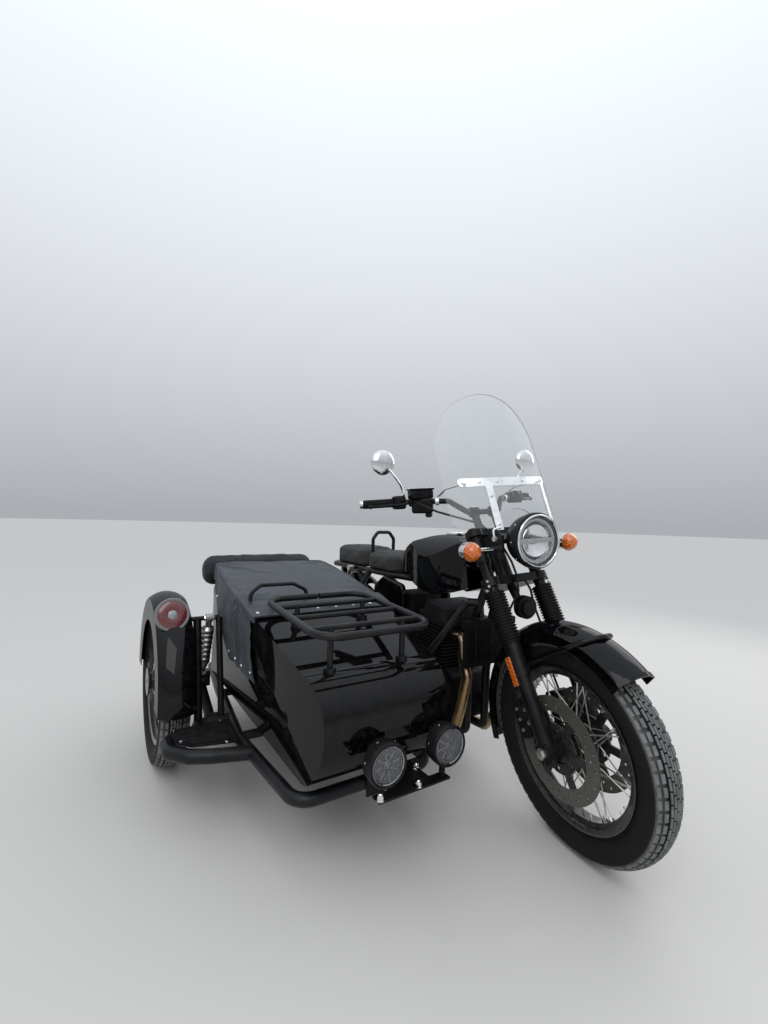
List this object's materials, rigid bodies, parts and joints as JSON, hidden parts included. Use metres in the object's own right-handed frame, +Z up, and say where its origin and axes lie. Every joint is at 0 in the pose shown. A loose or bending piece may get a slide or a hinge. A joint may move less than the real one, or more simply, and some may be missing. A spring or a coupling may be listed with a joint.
{
  "type": "sidecar motorcycle",
  "caption": "Roadster motorcycle with a boat-shaped sidecar on its rider's right, windshield, luggage rack, fog lamps, fabric tonneau and folded soft top.",
  "frame": {"origin": "centre of the bounding box on the ground, at rest with the front wheel turned to the rider's right", "axes": "+Z up, +Y to the rear (the machine travels towards -Y), +X to the rider's left, so the sidecar is on -X"},
  "size_m": [1.5534, 2.1516, 1.5019],
  "materials": {
    "gloss_black": "gloss",
    "satin_black": "satin",
    "engine_black": "satin black paint",
    "steel": "satin",
    "bronze_steel": "heat-tinted",
    "chrome": "polished",
    "white_metal": "satin",
    "tyre": "matte",
    "rubber": "matte",
    "seat_vinyl": "matte",
    "cover_cloth": "matte",
    "top_cloth": "matte",
    "clear": "clear",
    "lamp_glass": "clear",
    "plastic_black": "matte",
    "lamp_red": "gloss"
  },
  "bodies": {
    "chassis": {"bike_frame": "gloss_black", "swingarm": "satin_black", "rear_shocks": "steel", "engine": "engine_black", "airbox": "plastic_black", "exhaust": "bronze_steel", "radiator": "engine_black", "fuel_tank": "gloss_black", "rider_seat": "seat_vinyl", "pillion_seat": "seat_vinyl", "grab_handle": "satin_black", "side_panels": "gloss_black", "rear_mudguard": "gloss_black", "tail_lamps": "lamp_red", "footpegs": "rubber", "sidecar_frame": "satin_black", "sidecar_struts": "satin_black", "sidecar_body": "gloss_black", "sidecar_seat": "seat_vinyl", "tonneau_cover": "cover_cloth", "cowl_pad": "seat_vinyl", "grab_hoop": "satin_black", "luggage_rack": "satin_black", "fog_lamps": "engine_black", "step_plate": "satin_black", "sidecar_mudguard": "gloss_black", "marker_lamp": "chrome", "wheel_arm": "satin_black", "sidecar_shock": "steel", "soft_top": "top_cloth"},
    "steering": {"front_fork": "satin_black", "fork_gaiters": "rubber", "front_calipers": "engine_black", "brake_hoses": "rubber", "front_mudguard": "gloss_black", "headlamp": "gloss_black", "headlamp_glass": "lamp_glass", "front_indicators": "chrome", "handlebar": "satin_black", "hand_controls": "plastic_black", "mirrors": "chrome", "windshield": "clear", "windshield_bars": "white_metal"},
    "front_wheel_body": {"front_tyre": "tyre", "front_wheel": "steel", "front_discs": "steel"},
    "rear_wheel_body": {"rear_tyre": "tyre", "rear_wheel": "steel", "rear_disc": "steel"},
    "sidecar_wheel_body": {"sidecar_tyre": "tyre", "sidecar_wheel": "steel", "sidecar_disc": "steel"},
    "boot_lid_body": {"boot_lid": "gloss_black"}
  },
  "joints": [
    {"name": "steering", "type": "hinge", "parent": "chassis", "child": "steering", "pos_m": [0.31932, -0.41719, 0.86], "axis": [0, 0.471, 0.8821], "range_deg": [-24.5, 45.5]},
    {"name": "front_wheel_spin", "type": "hinge", "parent": "steering", "child": "front_wheel_body", "pos_m": [0.31112, -0.75213, 0.32665], "axis": [0.9833, -0.1608, 0.0858], "continuous": true},
    {"name": "rear_wheel_spin", "type": "hinge", "parent": "chassis", "child": "rear_wheel_body", "pos_m": [0.31932, 0.69181, 0.327], "axis": [1, 0, 0], "continuous": true},
    {"name": "sidecar_wheel_spin", "type": "hinge", "parent": "chassis", "child": "sidecar_wheel_body", "pos_m": [-0.70468, 0.44181, 0.327], "axis": [1, 0, 0], "continuous": true},
    {"name": "boot_lid_hinge", "type": "hinge", "parent": "chassis", "child": "boot_lid_body", "pos_m": [-0.25568, 0.67681, 0.6443], "axis": [1, 0, 0], "range_deg": [0, 62]}
  ]
}
